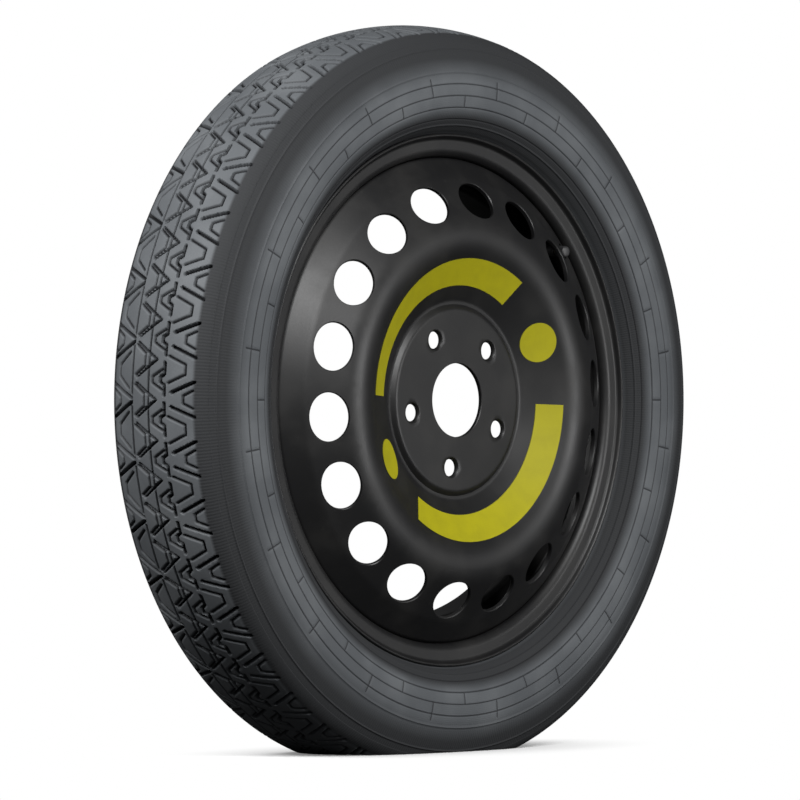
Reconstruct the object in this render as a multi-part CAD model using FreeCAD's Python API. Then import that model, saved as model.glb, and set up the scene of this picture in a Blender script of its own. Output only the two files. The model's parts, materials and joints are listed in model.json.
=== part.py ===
# Temporary spare wheel: a narrow tyre on a pressed-steel wheel, standing upright on its tread.
# The axle lies along Y, the outboard face looks towards -Y and Z is up.
# The origin is the middle of the hub bore on the face that bolts to the hub.
import FreeCAD, Part
import math
import os

V = FreeCAD.Vector

# Hub and bolt pattern
hub_bore_d = 65.1
bolt_circle_d = 120.0
bolt_count = 5
bolt_hole_d = 15.0
bolt_seat_d = 18.0
bolt_seat_cone = 60.0
bolt_first_angle = 46.6

# Pressed disc
disc_sheet = 4.0
hub_plate_r = 80.0
hub_step_run = 3.5
hub_step_height = 3.5
hub_step_bend = 2.6
dish_foot_r = 88.0
dish_angle = 27.0
dish_foot_bend = 5.0
crown_r = 146.0
crown_bend = 36.0
vent_slope = 30.0
shoulder_r = 194.0
shoulder_bend = 22.0
skirt_slope = 40.0
flange_bend = 6.0
flange_length = 10.0
vent_count = 18
vent_width = 42.4
vent_height = 36.0
vent_circle_r = 175.7
vent_first_angle = 4.75

# Rolled rim
wheel_offset = 55.0
rim_sheet = 3.0
rim_width = 88.9
bead_seat_d = 436.6
flange_height = 17.3
seat_taper = 5.0
lip_turn = 65.0
lip_reach = 6.5
lip_bend = 4.5
heel_bend = 6.0
well_r = 194.0
outer_seat_width = 22.5
inner_seat_width = 24.0
outer_wall_run = 2.2
inner_wall_run = 9.0
disc_fit = 0.05

# Weld beads between disc and rim
weld_count = 4
weld_leg = 3.2
weld_span = 52.0
weld_first_angle = 75.0

# Tyre
tyre_r = 332.0
crown_arc_r = 140.0
tread_half = 43.0
shoulder_arc_r = 23.0
shoulder_end_angle = 60.0
contact_drop = 22.0
tread_wall = 18.0
sidewall_wall = 7.5
bead_width = 19.5
bead_height = 15.0
bead_heel_r = 4.5
bead_gap = 0.15
lip_overhang = 2.0
air_crown_half = 40.0
air_side_height = 22.5

# Tread pattern
period_count = 20
blocks_per_period = 2
zigzags_per_period = 3
groove_depth = 5.5
outboard_rib_w = 17.6
inboard_rib_w = 20.5
rib_groove_width = 4.2
slot_width = 4.0
outboard_slot_w = 25.0
outboard_slot_spread = 0.38
outboard_tip_spread = 0.15
inboard_slot_spread = 0.47
inboard_tip_spread = 0.19
slot_tip_w = 50.5
chevron_width = 3.6
chevron_tip_w = 9.0
chevron_tail_w = -14.0
chevron_spread = 0.42

# Snap-in valve
valve_angle = 41.5
valve_hole_d = 11.5
valve_opening_d = 15.0
valve_base_d = 16.4
valve_base_height = 5.0
valve_base_edge = 1.5
valve_base_slope = 2.5
valve_seat_gap = 0.1
valve_collar_d = 14.0
valve_collar_height = 3.0
valve_neck_d = 11.2
valve_neck_start = 8.0
valve_neck_taper = 0.8
valve_rubber_end = 24.0
valve_length = 33.0
stem_tube_d = 6.2
stem_thread_d = 7.7
stem_chamfer = 0.6
stem_bore_d = 2.8
core_bore_d = 4.6
core_bore_step = 1.0
core_length = 8.5
core_recess = 0.5
core_bore_spare = 6.0
core_barrel_d = 4.3
core_chamber_d = 2.9
core_floor = 2.0
core_gasket_width = 1.5
core_gasket_depth = 0.5
core_gasket_setback = 0.8
core_fit = 0.05
pin_d = 1.2
pin_head_d = 2.3
pin_head_height = 0.8
pin_recess = 0.3
pin_foot_d = 2.6
pin_foot_height = 0.8
pin_seal_d = 3.2
pin_seal_height = 1.2
spring_wire = 0.25
spring_gap = 0.3
cap_height = 11.0
cap_wall = 0.95
cap_roof = 2.0
cap_crown_chamfer = 1.2
cap_lip_chamfer = 0.3
cap_seal_height = 1.2
cap_thread_gap = 0.3

# Yellow labels on the dish
label_sheet = 0.3
label_gap = 0.05
label_inner_r = 101.0
label_outer_r = 125.0
label_arc_start = 56.5
label_arc_end = 178.0
label_round_angle = 27.5
label_round_d = 36.0
label_round_r = 111.0
label_pair_turn = 180.0

# Values that follow from the sizes above
CENTRE = V(0, 0, 0)
AXLE = V(0, -1, 0)
flange_r = bead_seat_d / 2 + flange_height
floor_z = -(tyre_r - contact_drop)


def sin(angle):
    return math.sin(math.radians(angle))


def cos(angle):
    return math.cos(math.radians(angle))


def tan(angle):
    return math.tan(math.radians(angle))


def line(a, b):
    return Part.LineSegment(a, b).toShape()


def left_of(a, b):
    """Unit vector to the left of the run from a to b."""
    run = (b - a).normalize()
    return V(-run.y, run.x, 0)


def parallel(points, bends, shift):
    """Corners of the bent path a distance to the left of the points: one point each, or a bend's three."""
    corners = [[points[0] + left_of(points[0], points[1]) * shift]]
    for before, corner, after, bend in zip(points, points[1:], points[2:], bends):
        first = left_of(before, corner)
        last = left_of(corner, after)
        middle = (first + last).normalize()
        half_turn = first.getAngle(last) / 2
        if bend == 0:
            corners.append([corner + middle * (shift / math.cos(half_turn))])
            continue
        reach = bend * math.tan(half_turn)
        side = math.copysign(bend, first.cross(last).z)
        start = corner - (corner - before).normalize() * reach
        end = corner + (after - corner).normalize() * reach
        centre = start + first * side
        corners.append([start + first * shift, centre - middle * (side - shift), end + last * shift])
    corners.append([points[-1] + left_of(points[-2], points[-1]) * shift])
    return corners


def path_edges(corners):
    """Arcs at the bends and straight runs between them."""
    edges = []
    for corner, following in zip(corners, corners[1:]):
        if len(corner) == 3:
            edges.append(Part.Arc(*corner).toShape())
        edges.append(line(corner[-1], following[0]))
    return edges


def sheet_section(points, bends, thickness):
    """Section of bent sheet whose middle line follows the points."""
    front = parallel(points, bends, thickness / 2)
    back = [corner[::-1] for corner in reversed(parallel(points, bends, -thickness / 2))]
    edges = path_edges(front) + [line(front[-1][-1], back[0][0])]
    edges += path_edges(back) + [line(back[-1][-1], front[0][0])]
    return Part.Face(Part.Wire(edges))


def polygon(points):
    return Part.Face(Part.makePolygon(points + points[:1]))


def turned(section, angle=360.0):
    """Body of revolution round the axle, from the +X side towards +Z."""
    return section.revolve(CENTRE, AXLE, angle)


def spun(shape, angle):
    """Copy of a shape turned round the axle, from the +X side towards +Z."""
    copy = shape.copy()
    copy.rotate(CENTRE, AXLE, angle)
    return copy


def around(shape, count, first_angle):
    """Copies of a shape spaced evenly round the axle."""
    return [spun(shape, first_angle + i * 360.0 / count) for i in range(count)]


# Rim
def seat_r(w):
    """Radius of the rim sheet's middle on a bead seat, w from the rim's middle plane."""
    return bead_seat_d / 2 - rim_sheet / 2 - (rim_width / 2 - abs(w)) * tan(seat_taper)


wall_w = (rim_width + rim_sheet) / 2
lip_corner_r = flange_r - lip_reach * cos(lip_turn) - rim_sheet / 2 * sin(lip_turn)
lip_tip_w = wall_w + lip_reach * sin(lip_turn)
outer_seat_end = rim_width / 2 - outer_seat_width
inner_seat_end = rim_width / 2 - inner_seat_width


def rim_path():
    """Middle line of the rim sheet from the outboard lip to the inboard lip, with its bends."""
    lip_tip_r = lip_corner_r + lip_reach * cos(lip_turn)
    half = [(lip_tip_w, lip_tip_r), (wall_w, lip_corner_r), (wall_w, seat_r(wall_w))]
    path = [(-w, r) for w, r in half]
    path += [(-outer_seat_end, seat_r(outer_seat_end)), (outer_wall_run - outer_seat_end, well_r)]
    path += [(inner_seat_end - inner_wall_run, well_r), (inner_seat_end, seat_r(inner_seat_end))]
    path += reversed(half)
    bends = [lip_bend, heel_bend, 0, 0, 0, 0, heel_bend, lip_bend]
    return [V(r, wheel_offset + w, 0) for w, r in path], bends


def make_rim():
    rim = turned(sheet_section(*rim_path(), rim_sheet))
    return rim.cut(valve_cylinder(valve_hole_d / 2, -valve_base_height, valve_base_height))


# Disc
dish_foot_y = hub_step_height - disc_sheet / 2
crown_y = dish_foot_y - (crown_r - dish_foot_r) * tan(dish_angle)
shoulder_y = crown_y + (shoulder_r - crown_r) * tan(vent_slope)


def flange_mid_r(y):
    """Radius of the disc flange's middle, lying under the rim's outboard bead seat."""
    inside = seat_r(wheel_offset - y) - rim_sheet / 2 / cos(seat_taper)
    return inside - disc_fit - disc_sheet / 2 / cos(seat_taper)


def flange_corner_y():
    """Height at which the skirt's middle line meets the flange's."""
    fall = tan(skirt_slope)
    at_shoulder = flange_mid_r(shoulder_y)
    return shoulder_y + (at_shoulder - shoulder_r) * fall / (1 + tan(seat_taper) * fall)


corner_y = flange_corner_y()
flange_end_y = corner_y + flange_length


def disc_path():
    """Middle line of the disc from the hub bore to the end of the rim flange, with its bends."""
    path = [(hub_bore_d / 2, -disc_sheet / 2), (hub_plate_r, -disc_sheet / 2)]
    path += [(hub_plate_r + hub_step_run, dish_foot_y), (dish_foot_r, dish_foot_y)]
    path += [(crown_r, crown_y), (shoulder_r, shoulder_y)]
    path += [(flange_mid_r(corner_y), corner_y), (flange_mid_r(flange_end_y), flange_end_y)]
    bends = [hub_step_bend, hub_step_bend, dish_foot_bend, crown_bend, shoulder_bend, flange_bend]
    return [V(r, y, 0) for r, y in path], bends


def bolt_cutter():
    """Bolt hole with its conical seat opening outboard."""
    seat_depth = (bolt_seat_d - bolt_hole_d) / 2 / tan(bolt_seat_cone / 2)
    centre = V(bolt_circle_d / 2, -2 * disc_sheet, 0)
    hole = Part.makeCylinder(bolt_hole_d / 2, 4 * disc_sheet, centre, V(0, 1, 0))
    face = V(bolt_circle_d / 2, -disc_sheet, 0)
    return hole.fuse(Part.makeCone(bolt_seat_d / 2, bolt_hole_d / 2, seat_depth, face, V(0, 1, 0)))


def vent_cutter():
    """Oval punch, square to the slope of the vent ring and wider round the axle than along the slope."""
    y = crown_y + (vent_circle_r - crown_r) * tan(vent_slope)
    outward = V(sin(vent_slope), -cos(vent_slope), 0)
    up_slope = V(cos(vent_slope), sin(vent_slope), 0)
    centre = V(vent_circle_r, y, 0) - outward * (3 * disc_sheet)
    oval = Part.Ellipse(centre + V(0, 0, vent_width / 2), centre + up_slope * (vent_height / 2), centre)
    return Part.Face(Part.Wire(oval.toShape())).extrude(outward * (6 * disc_sheet))


def make_disc():
    disc = turned(sheet_section(*disc_path(), disc_sheet))
    cutters = around(bolt_cutter(), bolt_count, bolt_first_angle)
    cutters += around(vent_cutter(), vent_count, vent_first_angle)
    cutters.append(valve_cylinder(valve_opening_d / 2, valve_rubber_end - disc_sheet, 2 * valve_length))
    return disc.cut(cutters)


def make_weld_seams():
    """Fillet beads in the corner between the disc flange's end and the rim."""
    foot = V(flange_mid_r(flange_end_y), flange_end_y, 0)
    along = V(-sin(seat_taper), cos(seat_taper), 0)
    up = V(cos(seat_taper), sin(seat_taper), 0)
    corner = foot + up * (disc_sheet / 2)
    bead = turned(polygon([corner, corner + along * weld_leg, corner - up * weld_leg]), weld_span)
    return Part.makeCompound(around(bead, weld_count, weld_first_angle))


# Tyre
shoulder_start = math.degrees(math.asin(tread_half / crown_arc_r))
shoulder_centre_w = tread_half - shoulder_arc_r * sin(shoulder_start)
shoulder_centre_r = tyre_r - crown_arc_r + (crown_arc_r - shoulder_arc_r) * cos(shoulder_start)


def on_shoulder(angle):
    w = shoulder_centre_w + shoulder_arc_r * sin(angle)
    return w, shoulder_centre_r + shoulder_arc_r * cos(angle)


# The tyre is widest a third of the way from the rim's flange up to the tread.
side_w, side_r = on_shoulder(shoulder_end_angle)
widest_r = flange_r + (tyre_r - flange_r) / 3
sidewall_arc_r = (side_r - widest_r) / cos(shoulder_end_angle)
widest_w = side_w + sidewall_arc_r * (1 - sin(shoulder_end_angle))
lip_slope = 1 / tan(lip_turn)


def over_lip_r(w):
    """Radius of the tyre's surface where it lies on the rim lip."""
    corner = lip_corner_r + (rim_sheet / 2 + bead_gap) / sin(lip_turn)
    return corner + (w - wall_w) * lip_slope


def tyre_outline():
    """Edges of the filled tyre's half section from the crown to the bead toe, as functions of w and r."""
    lip_w = lip_tip_w + lip_overhang
    lip_r = over_lip_r(lip_w)
    rise = widest_r - lip_r
    inset = widest_w - lip_w
    lower_r = (inset ** 2 + rise ** 2) / (2 * inset)
    lower_half_turn = math.degrees(math.atan2(inset, rise))
    face_w = rim_width / 2 - bead_gap
    seat_end_w = rim_width / 2 - bead_width

    def seat(w):
        return seat_r(w) + rim_sheet / 2 / cos(seat_taper) + bead_gap

    def crown(angle):
        return crown_arc_r * sin(angle), tyre_r - crown_arc_r * (1 - cos(angle))

    def sidewall(angle):
        out = sidewall_arc_r * (sin(angle) - sin(shoulder_end_angle))
        return side_w + out, side_r + sidewall_arc_r * (cos(angle) - cos(shoulder_end_angle))

    def lower(angle):
        return widest_w - lower_r * (1 - cos(angle)), widest_r - lower_r * sin(angle)

    shoulder_middle = (shoulder_start + shoulder_end_angle) / 2
    arcs = [[crown(0), crown(shoulder_start / 2), on_shoulder(shoulder_start)],
            [on_shoulder(shoulder_start), on_shoulder(shoulder_middle), (side_w, side_r)],
            [(side_w, side_r), sidewall((shoulder_end_angle + 90) / 2), (widest_w, widest_r)],
            [(widest_w, widest_r), lower(lower_half_turn), (lip_w, lip_r)]]
    runs = [(lip_w, lip_r), (face_w, over_lip_r(face_w)), (face_w, seat(face_w) + bead_heel_r)]
    toe = [(face_w - bead_heel_r, seat(face_w - bead_heel_r)), (seat_end_w, seat(seat_end_w))]
    heel = bead_heel_r * (1 - cos(45))
    heel_arc = [runs[-1], (face_w - heel, seat(face_w) + heel), toe[0]]
    return arcs, runs, heel_arc, toe


def tyre_half(side):
    """Edges of one half of the tyre's outer section, side -1 outboard or 1 inboard."""
    def at(point):
        return V(point[1], wheel_offset + side * point[0], 0)
    arcs, runs, heel_arc, toe = tyre_outline()
    edges = [Part.Arc(*map(at, arc)).toShape() for arc in arcs]
    edges += [line(at(a), at(b)) for a, b in zip(runs, runs[1:])]
    edges += [Part.Arc(*map(at, heel_arc)).toShape(), line(*map(at, toe))]
    return edges, at(toe[-1])


def cavity_section():
    """Section of the air space, open to the rim between the beads."""
    toe_w = rim_width / 2 - bead_width
    crown = tyre_r - tread_wall
    bead_top = bead_seat_d / 2 + bead_height
    inner_w = widest_w - sidewall_wall
    half = [(air_crown_half, crown), (inner_w, widest_r + air_side_height / 2)]
    half += [(inner_w, widest_r - air_side_height / 2), (toe_w + sidewall_wall, bead_top)]
    half += [(toe_w, bead_seat_d / 2 - flange_height)]
    both = half + [(-w, r) for w, r in reversed(half)]
    return polygon([V(r, wheel_offset + w, 0) for w, r in both])


def below(z):
    """Block that takes away everything under a height."""
    reach = 2 * tyre_r
    return Part.makeBox(2 * reach, 2 * reach, reach, V(-reach, -reach, z - reach))


def tread_point(angle, w):
    """Point of the tread and its outward normal, angle round the axle and w from the middle plane."""
    tilt = math.degrees(math.asin(max(-1.0, min(1.0, w / crown_arc_r))))
    r = tyre_r - crown_arc_r * (1 - cos(tilt))
    if abs(w) > tread_half:
        tilt = math.degrees(math.asin((abs(w) - shoulder_centre_w) / shoulder_arc_r))
        r = shoulder_centre_r + shoulder_arc_r * cos(tilt)
        tilt = math.copysign(tilt, w)
    radial = V(cos(angle), 0, sin(angle))
    normal = radial * cos(tilt) + V(0, sin(tilt), 0)
    if r * radial.z < floor_z:
        r = floor_z / radial.z
        normal = V(0, 0, -1)
    return radial * r + V(0, wheel_offset + w, 0), normal


def groove(start, end, width):
    """Straight V groove between two (angle, w) points of the tread."""
    a, up_a = tread_point(*start)
    b, up_b = tread_point(*end)
    run = b - a
    up = up_a + up_b
    up = (up - run * (up.dot(run) / run.dot(run))).normalize()
    across = up.cross(run).normalize()
    rise = groove_depth
    half_top = width / 2 * (groove_depth + rise) / groove_depth
    crest = a + up * rise
    wedge = polygon([a - up * groove_depth, crest + across * half_top, crest - across * half_top])
    return wedge.extrude(run)


def tread_grooves():
    """Two rib grooves, slanted slots to both shoulders and a row of chevrons down the middle."""
    cutters = []
    foot_half = math.sqrt(tyre_r ** 2 - floor_z ** 2)
    foot_angle = math.degrees(math.atan2(foot_half, -floor_z))
    for w in (-outboard_rib_w, inboard_rib_w):
        rib_r = tread_point(90, w)[0].z
        y = wheel_offset + w
        ring = [V(rib_r - groove_depth, y, 0), V(rib_r + groove_depth, y - rib_groove_width, 0),
                V(rib_r + groove_depth, y + rib_groove_width, 0)]
        cutters.append(turned(polygon(ring)))
        cutters.append(groove((270 - foot_angle, w), (270 + foot_angle, w), rib_groove_width))
    slots = [(-1, outboard_slot_w, outboard_slot_spread, outboard_tip_spread),
             (1, inboard_rib_w, inboard_slot_spread, inboard_tip_spread)]
    block = 360.0 / (period_count * blocks_per_period)
    for i in range(period_count * blocks_per_period):
        middle = (i + 0.5) * block
        for side, inner_w, inner_spread, tip_spread in slots:
            for lean in (-1, 1):
                inner = (middle + lean * inner_spread * block, side * inner_w)
                tip = (middle + lean * tip_spread * block, side * slot_tip_w)
                cutters.append(groove(inner, tip, slot_width))
    zigzag = 360.0 / (period_count * zigzags_per_period)
    for i in range(period_count * zigzags_per_period):
        tip = (i * zigzag, -chevron_tip_w)
        for lean in (-1, 1):
            tail = ((i + lean * chevron_spread) * zigzag, -chevron_tail_w)
            cutters.append(groove(tip, tail, chevron_width))
    return cutters


def make_tyre():
    outboard, outboard_toe = tyre_half(-1)
    inboard, inboard_toe = tyre_half(1)
    edges = outboard + inboard + [line(outboard_toe, inboard_toe)]
    body = turned(Part.Face(Part.Wire(Part.__sortEdges__(edges))))
    body = body.cut(below(floor_z))
    air = turned(cavity_section()).cut(below(floor_z + tread_wall))
    return body.cut(air).cut(tread_grooves())


# Valve, drawn along its own axis: zero at the middle of the rim sheet and positive outboard
def valve_frame():
    """Placement of the valve in the middle of the rim's outboard well wall, square to that wall."""
    low, high = rim_path()[0][4], rim_path()[0][3]
    seat = (low + high) * 0.5
    out = V(-(high - low).y, (high - low).x, 0)
    out = out * math.copysign(1, -out.y)
    placement = FreeCAD.Placement(seat, FreeCAD.Rotation(V(0, 0, 1), out.normalize()))
    return FreeCAD.Placement(CENTRE, FreeCAD.Rotation(AXLE, valve_angle)).multiply(placement)


def on_valve(shape):
    placed = shape.copy()
    placed.Placement = valve_frame()
    return placed


def valve_cylinder(radius, bottom, top):
    return on_valve(Part.makeCylinder(radius, top - bottom, V(0, 0, bottom)))


def valve_turned(points):
    """Body of revolution on the valve's axis from (radius, height) points."""
    section = polygon([V(r, 0, z) for r, z in points])
    return on_valve(section.revolve(CENTRE, V(0, 0, 1), 360))


wall_half = rim_sheet / 2 + valve_seat_gap
valve_foot = -wall_half - valve_base_height
barrel_top = valve_length - core_recess
barrel_bottom = barrel_top - core_length
core_bore_bottom = barrel_bottom - core_bore_spare
chamber_floor = barrel_bottom + core_floor
gasket_bottom = barrel_bottom + core_gasket_setback
gasket_top = gasket_bottom + core_gasket_width
gasket_inner_r = core_barrel_d / 2 - core_gasket_depth
head_top = barrel_top - pin_recess
head_bottom = head_top - pin_head_height
pin_seal_bottom = barrel_bottom - pin_seal_height
cap_bore_r = stem_thread_d / 2 + cap_thread_gap
cap_ceiling = valve_length + cap_seal_height
cap_top = cap_ceiling + cap_roof
cap_bottom = cap_top - cap_height


def make_valve_body():
    base = valve_base_d / 2
    collar = valve_collar_d / 2
    neck = valve_neck_d / 2
    hole = valve_hole_d / 2
    inside = stem_tube_d / 2
    return valve_turned([(inside, valve_foot), (base - valve_base_slope, valve_foot),
                         (base, -wall_half - valve_base_edge), (base, -wall_half),
                         (hole, -wall_half), (hole, wall_half),
                         (collar, wall_half), (collar, wall_half + valve_collar_height),
                         (neck, wall_half + valve_neck_start), (neck - valve_neck_taper, valve_rubber_end),
                         (inside, valve_rubber_end)])


def make_valve_stem():
    tube = stem_tube_d / 2
    thread = stem_thread_d / 2
    bore = stem_bore_d / 2
    return valve_turned([(bore, valve_foot), (tube, valve_foot), (tube, valve_rubber_end),
                         (thread, valve_rubber_end), (thread, valve_length - stem_chamfer),
                         (thread - stem_chamfer, valve_length), (core_bore_d / 2, valve_length),
                         (core_bore_d / 2, core_bore_bottom), (bore, core_bore_bottom - core_bore_step)])


def make_core_barrel():
    outside = core_barrel_d / 2
    chamber = core_chamber_d / 2
    hole = pin_d / 2 + core_fit
    return valve_turned([(hole, barrel_bottom), (outside, barrel_bottom), (outside, gasket_bottom),
                         (gasket_inner_r, gasket_bottom), (gasket_inner_r, gasket_top), (outside, gasket_top),
                         (outside, barrel_top), (chamber, barrel_top), (chamber, chamber_floor),
                         (hole, chamber_floor)])


def valve_ring(inner_r, outer_r, bottom, top):
    """Plain ring, or a plug where its inner radius is zero, on the valve's axis."""
    return valve_turned([(inner_r, bottom), (outer_r, bottom), (outer_r, top), (inner_r, top)])


def make_core_gasket():
    return valve_ring(gasket_inner_r, core_bore_d / 2, gasket_bottom, gasket_top)


def make_core_pin():
    foot = pin_seal_bottom - pin_foot_height
    foot_r = pin_foot_d / 2
    shank = pin_d / 2
    head = pin_head_d / 2
    return valve_turned([(0, foot), (foot_r, foot), (foot_r, pin_seal_bottom), (shank, pin_seal_bottom),
                         (shank, head_bottom), (head, head_bottom), (head, head_top), (0, head_top)])


def make_core_pin_seal():
    return valve_ring(pin_d / 2, pin_seal_d / 2, pin_seal_bottom, barrel_bottom)


def make_core_spring():
    inside = pin_d / 2 + spring_gap
    return valve_ring(inside, inside + spring_wire, chamber_floor, head_bottom)


def make_cap_seal():
    return valve_ring(0, stem_thread_d / 2, valve_length, cap_ceiling)


def make_valve_cap():
    outside = cap_bore_r + cap_wall
    return valve_turned([(cap_bore_r, cap_bottom), (outside - cap_lip_chamfer, cap_bottom),
                         (outside, cap_bottom + cap_lip_chamfer), (outside, cap_top - cap_crown_chamfer),
                         (outside - cap_crown_chamfer, cap_top), (0, cap_top), (0, cap_ceiling),
                         (cap_bore_r, cap_ceiling)])


# Labels
def dish_band(inner_r, outer_r, angle):
    """Thin band lying on the dish's outboard face, swept through an angle."""
    lift = (disc_sheet / 2 + label_gap) / cos(dish_angle)

    def at(r, extra):
        y = dish_foot_y - (r - dish_foot_r) * tan(dish_angle) - lift
        return V(r, y, 0) - V(sin(dish_angle), cos(dish_angle), 0) * extra
    corners = [at(inner_r, 0), at(outer_r, 0), at(outer_r, label_sheet), at(inner_r, label_sheet)]
    return turned(polygon(corners), angle)


def make_arc_label(start):
    return spun(dish_band(label_inner_r, label_outer_r, label_arc_end - label_arc_start), start)


def make_round_label(angle):
    half = label_round_d / 2
    spread = math.degrees(half / label_inner_r)
    band = spun(dish_band(label_round_r - half, label_round_r + half, 2 * spread), -spread)
    y = dish_foot_y - (label_round_r - dish_foot_r) * tan(dish_angle)
    outward = V(-sin(dish_angle), -cos(dish_angle), 0)
    punch = Part.makeCylinder(half, 4 * disc_sheet, V(label_round_r, y, 0), outward)
    return spun(band.common(punch), angle)


def build():
    nodes = {
        "tyre": make_tyre(),
        "rim": make_rim(),
        "disc": make_disc(),
        "weld_seams": make_weld_seams(),
        "valve_body": make_valve_body(),
        "valve_stem": make_valve_stem(),
        "core_barrel": make_core_barrel(),
        "core_gasket": make_core_gasket(),
        "core_pin": make_core_pin(),
        "core_pin_seal": make_core_pin_seal(),
        "core_spring": make_core_spring(),
        "cap_seal": make_cap_seal(),
        "valve_cap": make_valve_cap(),
        "label_upper_arc": make_arc_label(label_arc_start),
        "label_lower_arc": make_arc_label(label_arc_start + label_pair_turn),
        "label_round_right": make_round_label(label_round_angle),
        "label_round_left": make_round_label(label_round_angle + label_pair_turn),
    }
    os.makedirs("parts", exist_ok=True)
    for name, shape in nodes.items():
        shape.exportStep("parts/%s.step" % name)
        facts = (name, len(shape.Solids), shape.isValid(), shape.Volume)
        print("%-18s solids %d valid %s volume %.1f mm3" % facts)


build()
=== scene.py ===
"""Dressed scene of a temporary spare wheel: a narrow tyre on a black pressed-steel wheel."""
import json
import logging
import math
from dataclasses import dataclass, field
from enum import Enum
from typing import Any, Sequence

import bmesh
import bpy
import numpy as np
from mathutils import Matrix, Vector
from numpy.typing import NDArray


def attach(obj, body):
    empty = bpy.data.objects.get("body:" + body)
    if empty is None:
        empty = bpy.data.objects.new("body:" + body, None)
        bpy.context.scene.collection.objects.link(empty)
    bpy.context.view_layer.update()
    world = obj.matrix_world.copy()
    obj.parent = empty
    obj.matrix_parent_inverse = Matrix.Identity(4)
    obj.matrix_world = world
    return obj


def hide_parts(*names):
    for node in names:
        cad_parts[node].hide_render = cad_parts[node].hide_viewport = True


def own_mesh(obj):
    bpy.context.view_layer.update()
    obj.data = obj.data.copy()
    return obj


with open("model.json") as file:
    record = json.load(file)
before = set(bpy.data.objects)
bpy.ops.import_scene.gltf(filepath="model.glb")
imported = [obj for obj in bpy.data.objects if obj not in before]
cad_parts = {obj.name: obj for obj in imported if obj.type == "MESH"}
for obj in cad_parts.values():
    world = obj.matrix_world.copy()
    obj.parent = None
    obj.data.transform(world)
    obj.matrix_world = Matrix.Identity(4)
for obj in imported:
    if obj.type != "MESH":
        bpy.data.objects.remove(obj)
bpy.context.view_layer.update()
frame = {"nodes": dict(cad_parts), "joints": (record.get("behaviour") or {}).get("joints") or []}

Array = NDArray[np.float64]
Indices = NDArray[np.int64]
Colour = tuple[float, float, float]

LOG = logging.getLogger("spare_wheel")
MM = 0.001
WELD_DISTANCE = 2e-6


class Body(Enum):
    """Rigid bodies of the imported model."""

    WHEEL = "wheel"
    PIN = "pin"
    SEAL = "seal"
    CAP = "cap"


class Slot(Enum):
    """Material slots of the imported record."""

    TYRE = "tyre"
    PAINT = "wheel_paint"
    LABEL = "label"
    VALVE_RUBBER = "valve_rubber"
    BRASS = "brass"
    SEAL = "seal"
    SPRING = "spring_steel"
    CAP = "cap_plastic"


class Side(Enum):
    """Sides of the wheel, with the sign of their direction from the rim's middle plane."""

    OUTBOARD = 1
    INBOARD = -1


@dataclass
class Surface:
    """Points in metres, quads between them, flat end caps and values kept per point."""

    points: Array
    quads: Indices
    caps: list[Indices] = field(default_factory=list)
    marks: dict[str, Array] = field(default_factory=dict)

    def volume(self) -> float:
        """Signed volume under the quads, positive where they face away from the inside."""
        a, b, c, d = (self.points[self.quads[:, k]] for k in range(4))
        halves = np.einsum("ij,ij->i", a, np.cross(b, c)) + np.einsum("ij,ij->i", a, np.cross(c, d))
        return float(halves.sum() / 6)

    def outward(self) -> "Surface":
        """The same surface with its quads facing away from the inside."""
        if self.volume() < 0:
            self.quads = self.quads[:, ::-1].copy()
            self.caps = [cap[::-1].copy() for cap in self.caps]
        return self


def grid_surface(points: Array, wrap_rows: bool, wrap_columns: bool) -> Surface:
    """Quads over a grid of points, each between a point, the next in its row and the two beyond them.

    Args:
        points: Grid of shape (rows, columns, 3), in metres.
        wrap_rows: True if the last row joins the first.
        wrap_columns: True if the last column joins the first.

    Returns:
        The surface.
    """
    rows, columns = points.shape[:2]
    i, j = np.meshgrid(np.arange(rows if wrap_rows else rows - 1),
                       np.arange(columns if wrap_columns else columns - 1), indexing="ij")
    below, beside = (i + 1) % rows, (j + 1) % columns
    quads = np.stack([i * columns + j, below * columns + j, below * columns + beside, i * columns + beside], -1)
    return Surface(points.reshape(-1, 3), quads.reshape(-1, 4))


def joined(parts: Sequence[Surface]) -> Surface:
    """One surface from several, with the point numbers of each moved past those before it.

    Args:
        parts: Surfaces without caps or marks.

    Returns:
        The joined surface.
    """
    starts = np.cumsum([0] + [len(part.points) for part in parts[:-1]])
    return Surface(np.concatenate([part.points for part in parts]),
                   np.concatenate([part.quads + start for part, start in zip(parts, starts)]))


def lathe(section: Array, steps: int) -> Surface:
    """Closed section carried round the axle: x = r cos a, y = y, z = r sin a.

    Args:
        section: Closed loop of (radius, y) points, in millimetres.
        steps: Number of steps round the axle.

    Returns:
        The surface, closed both ways.
    """
    angle = np.radians(np.arange(steps) * 360.0 / steps)[:, None]
    return grid_surface(around_axle(section[None, :, 0], section[None, :, 1], angle), True, True).outward()


def around_axle(radius: Array, y: Array, angle: Array) -> Array:
    """Points at a radius, a place along the axle and an angle from +X towards +Z.

    Args:
        radius: Radii in millimetres.
        y: Places along the axle in millimetres.
        angle: Angles in radians.

    Returns:
        Points in metres, one row of three per place.
    """
    x, y, z = np.broadcast_arrays(radius * np.cos(angle), y, radius * np.sin(angle))
    return np.stack([x, y, z], -1) * MM


def quarter_left(way: Array) -> Array:
    """A direction turned a quarter turn to the left."""
    return np.array([-way[1], way[0]])


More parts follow.
